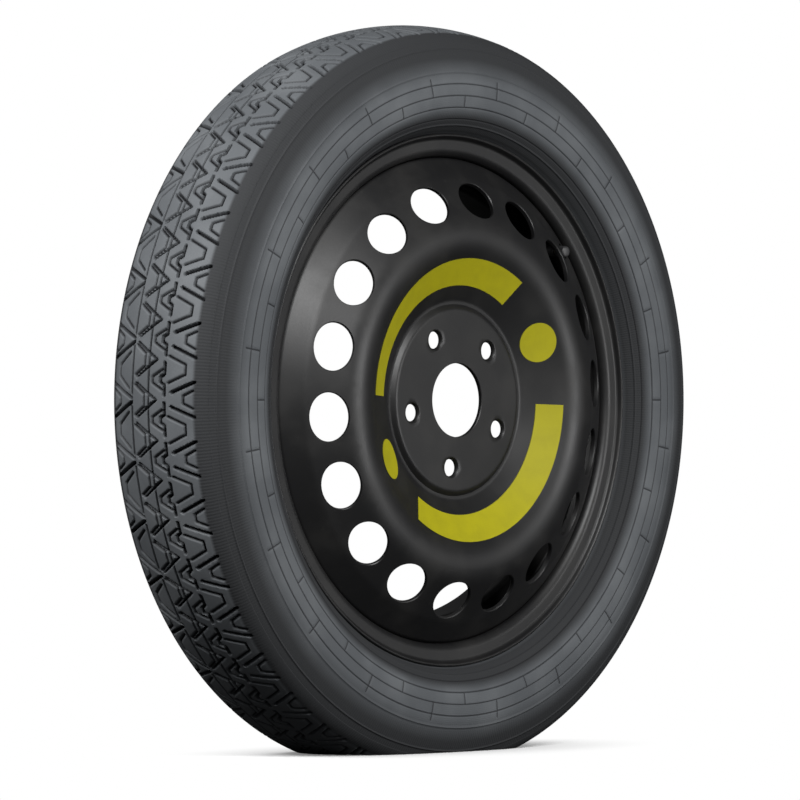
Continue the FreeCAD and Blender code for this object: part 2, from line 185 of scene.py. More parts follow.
def rounded_path(corners: Array, bends: Sequence[float], steps: int = 7) -> Array:
    """Path through corners, each replaced by an arc that touches both of its runs.

    Args:
        corners: Corner points, one row of two each.
        bends: Radius of the arc at each inner corner, or 0 for a sharp one.
        steps: Points on each arc.

    Returns:
        The path's points.
    """
    runs = np.diff(corners, axis=0)
    ways = runs / np.linalg.norm(runs, axis=1, keepdims=True)
    pieces = [corners[:1]]
    for corner, before, after, bend in zip(corners[1:-1], ways[:-1], ways[1:], bends):
        turn = math.atan2(before[0] * after[1] - before[1] * after[0], float(before @ after))
        start = corner - before * abs(bend * math.tan(turn / 2))
        to_centre = quarter_left(before) * math.copysign(1.0, turn)
        centre = start + to_centre * bend
        sweep = np.linspace(0, turn, steps if bend else 1)
        arm = -to_centre * bend
        pieces.append(np.stack([centre[0] + arm[0] * np.cos(sweep) - arm[1] * np.sin(sweep),
                                centre[1] + arm[0] * np.sin(sweep) + arm[1] * np.cos(sweep)], -1))
    return np.concatenate(pieces + [corners[-1:]])


def sheet_sides(path: Array, thickness: float) -> tuple[Array, Array]:
    """Both faces of a sheet: the path moved half a thickness along its normals, further where it turns.

    Args:
        path: Middle line of the sheet, one row of two per point.
        thickness: Thickness of the sheet.

    Returns:
        The face on the path's left and the face on its right.
    """
    ways = np.diff(path, axis=0)
    ways /= np.linalg.norm(ways, axis=1, keepdims=True)
    ways = np.concatenate([ways[:1], ways, ways[-1:]])
    normals = np.stack([-ways[:, 1], ways[:, 0]], -1)
    middle = normals[:-1] + normals[1:]
    middle /= np.linalg.norm(middle, axis=1, keepdims=True)
    reach = thickness / 2 / np.einsum("ij,ij->i", middle, normals[1:])
    return path + middle * reach[:, None], path - middle * reach[:, None]


def sheet_loop(path: Array, thickness: float) -> Array:
    """Closed section of a sheet with rounded ends, from its middle line.

    Args:
        path: Middle line of the sheet.
        thickness: Thickness of the sheet.

    Returns:
        Closed loop of points.
    """
    first = (path[1] - path[0]) / np.linalg.norm(path[1] - path[0])
    last = (path[-1] - path[-2]) / np.linalg.norm(path[-1] - path[-2])
    short = path.copy()
    short[0] += first * thickness / 2
    short[-1] -= last * thickness / 2
    left, right = sheet_sides(short, thickness)
    turn = np.radians(np.array([60.0, 30.0, 0.0, -30.0, -60.0]))[:, None]
    end = short[-1] + (last * np.cos(turn) + quarter_left(last) * np.sin(turn)) * thickness / 2
    start = short[0] - (first * np.cos(turn) + quarter_left(first) * np.sin(turn)) * thickness / 2
    return np.concatenate([left, end, right[::-1], start])


def add_piece(name: str, surface: Surface, finish: bpy.types.Material, body: Body,
              nodes: Sequence[str], sharp: float = 35.0, merge: bool = False) -> bpy.types.Object:
    """Makes a surface into an object of the model, on its body, and hides the nodes that it stands for.

    Args:
        name: Name of the piece.
        surface: Its surface.
        finish: Its material.
        body: Body that it rides on.
        nodes: Nodes of the model that it stands for.
        sharp: Edges that turn by more than this many degrees stay sharp.
        merge: True to join points that lie together and turn the faces outwards.

    Returns:
        The object.
    """
    mesh = bpy.data.meshes.new(name)
    loops = np.concatenate([surface.quads.ravel()] + surface.caps)
    sizes = np.array([4] * len(surface.quads) + [len(cap) for cap in surface.caps])
    mesh.vertices.add(len(surface.points))
    mesh.vertices.foreach_set("co", surface.points.astype(np.float32).ravel())
    mesh.loops.add(len(loops))
    mesh.loops.foreach_set("vertex_index", loops.astype(np.int32))
    mesh.polygons.add(len(sizes))
    mesh.polygons.foreach_set("loop_start", (np.cumsum(sizes) - sizes).astype(np.int32))
    mesh.update(calc_edges=True)
    for mark, values in surface.marks.items():
        mesh.attributes.new(mark, "FLOAT", "POINT").data.foreach_set("value", values.astype(np.float32).ravel())
    if merge:
        shape = bmesh.new()
        shape.from_mesh(mesh)
        bmesh.ops.remove_doubles(shape, verts=shape.verts, dist=WELD_DISTANCE)
        bmesh.ops.recalc_face_normals(shape, faces=shape.faces)
        shape.to_mesh(mesh)
        shape.free()
    mesh.shade_smooth()
    mesh.set_sharp_from_angle(angle=math.radians(sharp))
    mesh.materials.append(finish)
    piece = bpy.data.objects.new(name, mesh)
    bpy.context.scene.collection.objects.link(piece)
    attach(piece, body.value)
    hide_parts(*nodes)
    LOG.info("%s: %d faces, rides on %s", name, len(mesh.polygons), body.value)
    return piece


class Value:
    """A number that varies over a surface: a socket whose operators add Math nodes."""

    def __init__(self, graph: "Graph", socket: bpy.types.NodeSocket) -> None:
        """Keeps the graph and the socket."""
        self.graph = graph
        self.socket = socket

    def math(self, operation: str, *others: Any) -> "Value":
        """A Math node with this value first and the others, values or numbers, after it."""
        return self.graph.number("ShaderNodeMath", {"operation": operation}, self, *others)

    def __add__(self, other: Any) -> "Value":
        """Sum."""
        return self.math("ADD", other)

    def __sub__(self, other: Any) -> "Value":
        """Difference."""
        return self.math("SUBTRACT", other)

    def __rsub__(self, other: Any) -> "Value":
        """Difference from a number."""
        return self.graph.number("ShaderNodeMath", {"operation": "SUBTRACT"}, other, self)

    def __mul__(self, other: Any) -> "Value":
        """Product."""
        return self.math("MULTIPLY", other)

    def __truediv__(self, other: Any) -> "Value":
        """Quotient."""
        return self.math("DIVIDE", other)

    def __rtruediv__(self, other: Any) -> "Value":
        """Quotient of a number by this."""
        return self.graph.number("ShaderNodeMath", {"operation": "DIVIDE"}, other, self)

    def __pow__(self, other: Any) -> "Value":
        """Power."""
        return self.math("POWER", other)

    def __rpow__(self, other: Any) -> "Value":
        """Power of a number."""
        return self.graph.number("ShaderNodeMath", {"operation": "POWER"}, other, self)

    __radd__ = __add__
    __rmul__ = __mul__

    def step(self, low: float, high: float) -> "Value":
        """0 below low, 1 above high and a smooth rise between them."""
        return self.graph.number("ShaderNodeMapRange", {"interpolation_type": "SMOOTHSTEP"},
                                 self, low, high, 0.0, 1.0)


class Graph:
    """A node tree, with one method that adds every node."""

    def __init__(self, tree: bpy.types.NodeTree) -> None:
        """Keeps the tree."""
        self.tree = tree

    def node(self, kind: str, settings: dict[str, Any], *inputs: Any, **named: Any) -> bpy.types.Node:
        """Adds a node.

        Args:
            kind: Type of the node.
            settings: Its settings, set before its sockets.
            inputs: Values or links of its first sockets, None to leave one as it is.
            named: Values or links by socket identifier.

        Returns:
            The node.
        """
        made = self.tree.nodes.new(kind)
        for key, value in settings.items():
            setattr(made, key, value)
        by_name = {socket.identifier: socket for socket in made.inputs}
        by_name.update({socket.name.replace(" ", "_"): socket for socket in made.inputs
                        if socket.identifier == socket.name})
        pairs = list(zip(made.inputs, inputs)) + [(by_name[key], value) for key, value in named.items()]
        for socket, value in pairs:
            if isinstance(value, Value):
                self.tree.links.new(value.socket, socket)
            elif isinstance(value, bpy.types.NodeSocket):
                self.tree.links.new(value, socket)
            elif value is not None:
                socket.default_value = value
        return made

    def number(self, kind: str, settings: dict[str, Any], *inputs: Any) -> Value:
        """The first output of a node as a value."""
        return Value(self, self.node(kind, settings, *inputs).outputs[0])

    def ray(self, kind: str) -> Value:
        """1 for rays of one kind, such as those from the camera, else 0."""
        return Value(self, self.node("ShaderNodeLightPath", {}).outputs[f"Is {kind} Ray"])

    def show(self, shader: bpy.types.NodeSocket) -> None:
        """Links a shader to the tree's output."""
        output = next(n for n in self.tree.nodes if n.bl_idname.startswith("ShaderNodeOutput"))
        self.tree.links.new(shader, output.inputs["Surface"])


class Dressing(Graph):
    """The node tree of one material, with a shader and the surface's own coordinates."""

    def __init__(self, name: str) -> None:
        """Starts a material with a Principled shader and nothing linked to it."""
        self.material = bpy.data.materials.new(name)
        self.material.use_nodes = True
        super().__init__(self.material.node_tree)
        self.shader = next(n for n in self.tree.nodes if n.type == "BSDF_PRINCIPLED")
        self.place = self.node("ShaderNodeTexCoord", {}).outputs["Object"]

    @staticmethod
    def tint(colour: Any) -> Any:
        """A colour with its alpha, or a socket as it is."""
        return (*colour, 1.0) if isinstance(colour, tuple) else colour

    def axis(self, index: int) -> Value:
        """One of the surface's coordinates in millimetres."""
        parts = self.node("ShaderNodeSeparateXYZ", {}, self.place)
        return Value(self, parts.outputs[index]) * (1 / MM)

    def mark(self, name: str) -> Value:
        """A value kept per point of the mesh."""
        return Value(self, self.node("ShaderNodeAttribute", {"attribute_name": name}).outputs["Fac"])

    def noise(self, grain: float, detail: float) -> Value:
        """Noise between about 0 and 1, with blotches of a size in millimetres and a number of octaves."""
        spot = self.node("ShaderNodeMapping", {}, self.place, Scale=(1 / (grain * MM),) * 3)
        return self.number("ShaderNodeTexNoise", {}, spot.outputs[0], None, 1.0, detail)

    def blend(self, factor: Any, low: Any, high: Any) -> bpy.types.NodeSocket:
        """Mix of two colours.

        Args:
            factor: Share of the second.
            low: First colour, or its socket.
            high: Second colour, or its socket.

        Returns:
            Socket of the mixed colour.
        """
        mixed = self.node("ShaderNodeMix", {"data_type": "RGBA", "clamp_factor": True},
                          Factor_Float=factor, A_Color=self.tint(low), B_Color=self.tint(high))
        return next(s for s in mixed.outputs if s.identifier == "Result_Color")

    def bump(self, height: Value, depth: float) -> bpy.types.NodeSocket:
        """Normal of a relief whose height of 1 stands that many millimetres high."""
        return self.node("ShaderNodeBump", {}, Distance=depth * MM, Height=height).outputs[0]

    def finish(self, **sockets: Any) -> bpy.types.Material:
        """Feeds the shader's sockets, named with underscores, and returns the material."""
        for key, value in sockets.items():
            socket = self.shader.inputs[key.replace("_", " ")]
            if isinstance(value, (Value, bpy.types.NodeSocket)):
                self.tree.links.new(value.socket if isinstance(value, Value) else value, socket)
            else:
                socket.default_value = value
        return self.material


@dataclass(frozen=True)
class TyreRubber:
    """Matt moulded rubber: darker on the serrated shoulder and low sidewall, partly its matt serrations and
    partly painted shade, with painted shade near black in the grooves and rings.
    """

    body: Colour = (0.066, 0.071, 0.0765)
    dusty: Colour = (0.092, 0.098, 0.104)
    # Darker rubber of the serrated shoulder and low sidewall: its matt serrations plus painted shade where the
    # surface turns away from the lamps.
    band: Colour = (0.022, 0.023, 0.0245)
    # Painted shade, near black, in the tread's cuts and the sidewall's rings and ticks.
    groove: Colour = (0.006, 0.006, 0.007)
    serrations: int = 720
    mark_pitch: float = 1.6
    relief: float = 0.25
    gloss: float = 0.58

    def make(self) -> bpy.types.Material:
        """Builds the material."""
        g = Dressing("tyre_rubber")
        x, z = g.axis(0), g.axis(2)
        radius = (x * x + z * z) ** 0.5
        angle = g.number("ShaderNodeMath", {"operation": "ARCTAN2"}, z, x)
        groove, band = g.mark("groove"), g.mark("band")
        dust = g.noise(60, 4).step(0.35, 0.75)
        grain = g.noise(0.9, 3)
        colour = g.blend(dust, self.body, self.dusty)
        # Painted shade: darker on the shoulder band and the low sidewall.
        colour = g.blend(band, colour, self.band)
        # Painted shade: near black in the cuts and rings.
        colour = g.blend(groove, colour, self.groove)
        rib = (angle * self.serrations).math("SINE") * band
        turn_marks = (radius * (2 * math.pi / self.mark_pitch)).math("SINE") * (1 - band)
        height = grain * 0.6 + rib * 0.22 + turn_marks * 0.08
        return g.finish(Base_Color=colour, Roughness=self.gloss + grain * 0.16 + band * 0.08,
                        Normal=g.bump(height, self.relief), Specular_IOR_Level=0.16)


@dataclass(frozen=True)
class WheelPaint:
    """Satin black paint over pressed steel, with a faint grain and dust."""

    body: Colour = (0.005, 0.005, 0.0053)
    dusty: Colour = (0.013, 0.0126, 0.012)
    gloss: float = 0.40

    def make(self) -> bpy.types.Material:
        """Builds the material."""
        g = Dressing("wheel_paint")
        cloud = g.noise(45, 4).step(0.4, 0.8)
        peel = g.noise(1.6, 2)
        specks = g.noise(5, 2).step(0.66, 0.74)
        colour = g.blend(cloud * 0.7 + specks * 0.3, self.body, self.dusty)
        return g.finish(Base_Color=colour, Roughness=self.gloss + cloud * 0.08 + peel * 0.05,
                        Normal=g.bump(peel, 0.03), Specular_IOR_Level=0.35)


@dataclass(frozen=True)
class LabelFilm:
    """Plain yellow film with a faint grain and a dark cut edge."""

    body: Colour = (0.30, 0.275, 0.005)
    faded: Colour = (0.25, 0.23, 0.006)
    ink: Colour = (0.03, 0.03, 0.012)

    def make(self) -> bpy.types.Material:
        """Builds the material."""
        g = Dressing("label_film")
        grain = g.noise(1.2, 3)
        wash = g.noise(14, 3).step(0.3, 0.8)
        colour = g.blend(wash * 0.6 + grain * 0.5, self.body, self.faded)
        colour = g.blend(g.mark("ink"), colour, self.ink)
        return g.finish(Base_Color=colour, Roughness=0.42 + grain * 0.15, Normal=g.bump(grain, 0.04),
                        Specular_IOR_Level=0.2)


@dataclass(frozen=True)
class PlainFinish:
    """A turned or moulded finish: a colour with slight clouding, a grain and a gloss."""

    name: str
    body: Colour
    worn: Colour
    gloss: float
    metal: float = 0.0
    grain: float = 0.8

    def make(self) -> bpy.types.Material:
        """Builds the material."""
        g = Dressing(self.name)
        cloud = g.noise(6, 3).step(0.35, 0.75)
        fine = g.noise(self.grain, 2)
        return g.finish(Base_Color=g.blend(cloud, self.body, self.worn), Metallic=self.metal,
                        Roughness=self.gloss + fine * 0.12, Normal=g.bump(fine, 0.03))


@dataclass(frozen=True)
class Cut:
    """A groove or sipe of the tread: points, each a share of a pitch and a distance from the middle."""

    points: tuple[tuple[float, float], ...]
    half: float
    depth: float


@dataclass
class Tyre:
    """Moulded tyre: a tread band in four quarters and two sidewalls. Lengths in millimetres."""

    finish: bpy.types.Material
    radius: float = 332.0
    crown_arc: float = 140.0
    tread_half: float = 43.0
    shoulder_arc: float = 23.0
    shoulder_end: float = 60.0
    widest_r: float = 267.733
    contact_drop: float = 22.0
    offset: float = 55.0
    lip_w: float = 53.84
    lip_r: float = 237.4
    pitches: int = 20
    pitch_steps: int = 104
    across: int = 120
    edge: float = 1.0
    main_half: float = 0.7
    main_depth: float = 4.6
    sipe_half: float = 0.45
    sipe_depth: float = 2.4
    samples: int = 400
    inner_drop: float = 34.0
    inner_half: float = 52.0
    shoulder_band: float = 45.5
    shoulder_shade_fade: float = 2.5
    rings: tuple[float, ...] = (247.5, 257.5, 268.0, 278.5)
    ridges: tuple[float, ...] = (242.5, 288.5, 309.0)
    ring_half: float = 0.65
    ring_depth: float = 0.55
    ridge_half: float = 1.3
    ridge_height: float = 0.7
    tick_end: float = 284.0
    tick_half: float = 0.13
    wall_rows: int = 76
    wall_step: float = 0.75
    bead: tuple[tuple[float, float], ...] = (
        (44.3, 232.9), (44.3, 223.0), (39.0, 218.5), (25.0, 217.3), (25.0, 231.0), (45.0, 246.0),
        (60.0, 264.0), (60.0, 280.0), (46.0, 306.0))

    def __post_init__(self) -> None:
        """Samples the outer contour, arc by arc, from the crown to the rim lip."""
        start = math.asin(self.tread_half / self.crown_arc)
        end = math.radians(self.shoulder_end)
        shoulder = np.array([0.0, self.radius - self.crown_arc]) \
            + (self.crown_arc - self.shoulder_arc) * np.array([math.sin(start), math.cos(start)])
        sidewall_arc = (shoulder[1] + self.shoulder_arc * math.cos(end) - self.widest_r) / math.cos(end)
        side = shoulder + (self.shoulder_arc - sidewall_arc) * np.array([math.sin(end), math.cos(end)])
        widest = side[0] + sidewall_arc
        inset, rise = widest - self.lip_w, side[1] - self.lip_r
        lower = (inset ** 2 + rise ** 2) / (2 * inset)
        arcs = [(np.array([0.0, self.radius - self.crown_arc]), self.crown_arc, 0.0, start),
                (shoulder, self.shoulder_arc, start, end),
                (side, sidewall_arc, end, math.pi / 2),
                (np.array([widest - lower, side[1]]), lower, math.pi / 2,
                 math.pi / 2 + 2 * math.atan2(inset, rise))]
        tilt = np.concatenate([np.linspace(a, b, self.samples) for _, _, a, b in arcs])
        arm = np.repeat([arc for _, arc, _, _ in arcs], self.samples)
        middle = np.repeat([centre for centre, _, _, _ in arcs], self.samples, axis=0)
        self.tilt = tilt
        self.w = middle[:, 0] + arm * np.sin(tilt)
        self.r = middle[:, 1] + arm * np.cos(tilt)
        self.run = np.concatenate([[0.0], np.cumsum(np.hypot(np.diff(self.w), np.diff(self.r)))])
        self.tread_run = float(self.run[2 * self.samples - 1])

    def at(self, run: Array, angle: Array, depth: Array) -> Array:
        """Points of the tyre's surface: the contour at a run from the crown, turned about the axle and
        flattened where it meets the floor, then sunk along the outward normal.

        Args:
            run: Signed length along the contour from the middle plane, outboard positive, in millimetres.
            angle: Angle round the axle, in radians.
            depth: How far the point lies under the surface, in millimetres.

        Returns:
            Points in metres.
        """
        sign, length = np.sign(run), np.abs(run)
        w = sign * np.interp(length, self.run, self.w)
        r = np.interp(length, self.run, self.r)
        tilt = np.interp(length, self.run, self.tilt)
        floor = self.contact_drop - self.radius
        height = r * np.sin(angle)
        flat = height < floor
        r = np.where(flat, r * floor / np.where(flat, height, -1.0), r)
        points = around_axle(r, self.offset - w, angle)
        normal = np.stack(np.broadcast_arrays(np.cos(tilt) * np.cos(angle), -sign * np.sin(tilt) + 0 * angle,
                                              np.cos(tilt) * np.sin(angle)), -1)
        normal = np.where(flat[..., None], np.array([0.0, 0.0, -1.0]), normal)
        return points - normal * np.broadcast_to(depth, flat.shape)[..., None] * MM

    def run_at(self, radius: Array) -> Array:
        """Length along the contour at which it has a radius."""
        order = np.argsort(self.r)
        return np.interp(radius, self.r[order], self.run[order])

    def cuts(self) -> list[Cut]:
        """Grooves and sipes of one pitch: two shoulder blocks a side and three chevrons down the middle."""
        made = [Cut(((0.0, 0.0), (1.0, 0.0)), 0.2, 3.0)]
        for block in (0.25, 0.75):
            for lean in (-1, 1):
                made.append(Cut(((block + lean * 0.19, 25.0), (block + lean * 0.102, 46.5)),
                                self.main_half, self.main_depth))
                made.append(Cut(((block + lean * 0.235, -20.5), (block + lean * 0.1, -48.5)),
                                self.main_half, self.main_depth))
            made += [self.sipe(block, 0.112, 21.5, 0.042, 38.0), self.sipe(block, 0.15, -25.0, 0.048, -38.5),
                     self.sipe(block + 0.25, 0.075, 45.5, 0.032, 36.5),
                     self.sipe(block + 0.25, 0.09, -46.5, 0.03, -37.0)]
            made.append(Cut(((block - 0.2, -20.5), (block + 0.2, -20.5)), 0.1, 2.4))
        for tip in (0.0, 1 / 3, 2 / 3):
            for lean in (-1, 1):
                made.append(Cut(((tip, 8.6), (tip + lean * 0.14, -14.2)), 0.4, self.main_depth))
            made.append(self.sipe(tip, 0.125, -16.5, 0.05, -5.0))
            middle = tip + 1 / 6
            made.append(self.sipe(middle, 0.085, 15.5, 0.025, 4.5))
            kink = ((-0.14, 17.6), (-0.045, 17.6), (-0.022, 13.4), (0.022, 13.4), (0.045, 17.6), (0.13, 17.6))
            made.append(Cut(tuple((middle + t, w) for t, w in kink), 0.6, self.main_depth))
        return made

    def sipe(self, middle: float, wide: float, open_w: float, narrow: float, end_w: float) -> Cut:
        """A thin bracket-shaped cut, open towards open_w and closed at end_w."""
        return Cut(((middle - wide, open_w), (middle - narrow, end_w), (middle + narrow, end_w),
                    (middle + wide, open_w)), self.sipe_half, self.sipe_depth)

    def pitch_depth(self, run: Array) -> tuple[Array, Array]:
        """Depth of the cuts over one pitch: at each point the deepest cut, full within its half width of the
        cut's line and rising to the surface over one edge width.

        Args:
            run: Signed lengths along the contour.

        Returns:
            Depth in millimetres and how far the cut is darkened as painted shade, each of shape (steps, runs).
        """
        length = 2 * math.pi * self.radius / self.pitches
        share = np.arange(self.pitch_steps) / self.pitch_steps
        place = np.stack(np.meshgrid(share * length, run, indexing="ij"), -1)
        depth = np.zeros(place.shape[:2])
        cut_shade = np.zeros(place.shape[:2])
        for cut in self.cuts():
            line = np.array(cut.points)
            tread = slice(2 * self.samples)
            line[:, 1] = np.sign(line[:, 1]) * np.interp(np.abs(line[:, 1]), self.w[tread], self.run[tread])
            for turn in (-1, 0, 1):
                a = (line[:-1] + np.array([turn, 0])) * np.array([length, 1])
                b = (line[1:] + np.array([turn, 0])) * np.array([length, 1])
                way = b - a
                share_on = ((place[:, :, None] - a) * way).sum(-1) / (way * way).sum(-1)
                nearest = a + np.clip(share_on, 0, 1)[..., None] * way
                gap = np.linalg.norm(place[:, :, None] - nearest, axis=-1).min(-1)
                wall = np.clip((cut.half + self.edge - gap) / self.edge, 0, 1)
                depth = np.maximum(depth, cut.depth * wall)
                # Painted shade, full in each cut and fading over its edge.
                cut_shade = np.maximum(cut_shade, wall)
        return depth, cut_shade

    def tread_quarter(self, quarter: int) -> Surface:
        """A quarter of the tread band: the contour's run across it by the angle round it, sunk by the cuts, and
        closed by a plain inner wall and flat ends.

        Args:
            quarter: Which quarter, from 0 to 3.

        Returns:
            The surface.
        """
        run = np.linspace(-self.tread_run, self.tread_run, self.across)
        depth, cut_shade = self.pitch_depth(run)
        count = self.pitches // 4
        depth = np.concatenate([np.tile(depth, (count, 1)), depth[:1]])
        cut_shade = np.concatenate([np.tile(cut_shade, (count, 1)), cut_shade[:1]])
        angle = np.radians(quarter * 90 + np.linspace(0, 90, len(depth)))[:, None]
        outer = self.at(run[None, :], angle, depth)
        inner = around_axle(np.full((1, 2), self.radius - self.inner_drop),
                            self.offset - np.array([[self.inner_half, -self.inner_half]]), angle)
        surface = grid_surface(np.concatenate([outer, inner], 1), False, True)
        rows, columns = outer.shape[0], outer.shape[1] + 2
        first = np.arange(columns)
        surface.caps = [first, first[::-1] + (rows - 1) * columns]
        # Painted shade on the serrated shoulder, which fades in over the shoulder's edge.
        shoulder = np.clip((np.abs(run) - self.shoulder_band) / self.shoulder_shade_fade, 0, 1)[None, :] + 0 * depth
        for name, values in (("groove", cut_shade), ("band", shoulder)):
            surface.marks[name] = np.concatenate([values, np.zeros((rows, 2))], 1)
        return surface.outward()

    def sidewall(self, side: Side) -> Surface:
        """A sidewall: the contour from the shoulder to the rim lip, with thin rings, short radial ticks and low
        ridges, closed by the bead and a plain inner wall.

        Args:
            side: Side of the wheel.

        Returns:
            The surface.
        """
        rings, ridges = self.run_at(np.array(self.rings)), self.run_at(np.array(self.ridges))
        near = self.ridge_half * np.array([-1.0, -0.5, 0.0, 0.5, 1.0])
        marked = (np.concatenate([rings, ridges])[:, None] + near).ravel()
        plain = np.linspace(self.tread_run - 1.0, self.run[-1], self.wall_rows)
        run = np.unique(np.concatenate([plain, marked]))
        run = run[run <= self.run[-1]]
        spacing = 180.0 / self.pitches
        beside = np.arange(2 * self.pitches)[:, None] * spacing + np.array([-0.2, -0.1, 0.1, 0.2])
        angle = np.unique(np.concatenate([np.arange(0, 360, self.wall_step), beside.ravel() % 360]))
        run_grid, angle_grid = np.meshgrid(run, np.radians(angle), indexing="xy")
        radius = np.interp(run_grid, self.run, self.r)
        ring_gap = np.abs(run_grid[..., None] - rings).min(-1)
        ring = np.clip(1.25 - ring_gap / self.ring_half, 0, 1)
        ridge = np.clip(1.0 - np.abs(run_grid[..., None] - ridges) / self.ridge_half, 0, 1).max(-1)
        unit = np.round(np.degrees(angle_grid) / spacing)
        tick_gap = np.abs(np.degrees(angle_grid) - unit * spacing)
        low = np.where(unit % 2 == 0, self.rings[1], self.rings[2])
        high = np.where(unit % 2 == 0, self.rings[2], self.tick_end)
        tick = np.clip(1.5 - tick_gap / self.tick_half, 0, 1) * (radius > low) * (radius < high)
        line = np.maximum(ring, tick)
        depth = self.ring_depth * line - self.ridge_height * ridge
        outer = self.at(side.value * run_grid, angle_grid, depth)
        bead = np.array(self.bead)[None]
        inner = around_axle(bead[..., 1], self.offset - side.value * bead[..., 0], np.radians(angle)[:, None])
        surface = grid_surface(np.concatenate([outer, inner], 1), True, True)
        # Painted shade: darker towards the shoulder and near the rim lip, where the sidewall turns away from
        # the light.
        band = np.clip((radius - 281.0) / 20.0, 0, 1) + np.clip((257.0 - radius) / 8.0, 0, 1)
        empty = np.zeros((len(angle), len(self.bead)))
        # Painted shade in the sunk rings and ticks.
        surface.marks["groove"] = np.concatenate([line * 0.85, empty], 1)
        surface.marks["band"] = np.concatenate([np.clip(band, 0, 1), empty], 1)
        return surface.outward()

    def build(self) -> None:
        """Adds the tread's quarters and the sidewalls."""
        made = {f"tread_quarter_{quarter + 1}": self.tread_quarter(quarter) for quarter in range(4)}
        made.update({f"sidewall_{side.name.lower()}": self.sidewall(side) for side in Side})
        for name, surface in made.items():
            add_piece(name, surface, self.finish, Body.WHEEL, ["tyre"], sharp=50)


@dataclass
class Rim:
    """Rolled rim: a bent sheet carried round the axle. Lengths in millimetres."""

    finish: bpy.types.Material
    sheet: float = 3.0
    offset: float = 55.0
    lip_tip: tuple[float, float] = (51.84, 234.24)
    lip_corner: tuple[float, float] = (45.95, 231.49)
    heel: tuple[float, float] = (45.95, 216.93)
    outer_seat: tuple[float, float] = (21.95, 214.83)
    outer_well: tuple[float, float] = (19.75, 194.0)
    inner_well: tuple[float, float] = (-11.45, 194.0)
    inner_seat: tuple[float, float] = (-20.45, 214.70)
    bends: tuple[float, ...] = (4.5, 6.0, 4.0, 4.0, 5.0, 5.0, 6.0, 4.5)
    steps: int = 360

    def build(self) -> None:
        """Adds the rim."""
        flange = [self.lip_tip, self.lip_corner, self.heel]
        corners = flange + [self.outer_seat, self.outer_well, self.inner_well, self.inner_seat]
        corners += [(-w, r) for w, r in reversed(flange)]
        path = rounded_path(np.array([(r, self.offset - w) for w, r in corners]), self.bends)
        surface = lathe(sheet_loop(path, self.sheet), self.steps)
        add_piece("rim_hoop", surface, self.finish, Body.WHEEL, ["rim"])


@dataclass(frozen=True)
class Hole:
    """A ring of equal holes in the disc: where they are and the steps of their edge, back to front.

    Each step is how much wider than the hole it is and how far through the sheet, from 1 at the back to 0.
    A hole may lie some degrees aside of its patch's middle, and lean outwards by some millimetres to the front.
    """

    circle: float
    radius: float
    squeeze: float
    half_angle: float
    first_angle: float
    count: int
    low: float
    high: float
    edge: tuple[tuple[float, float], ...]
    aside: float = 0.0
    lean: float = 0.0


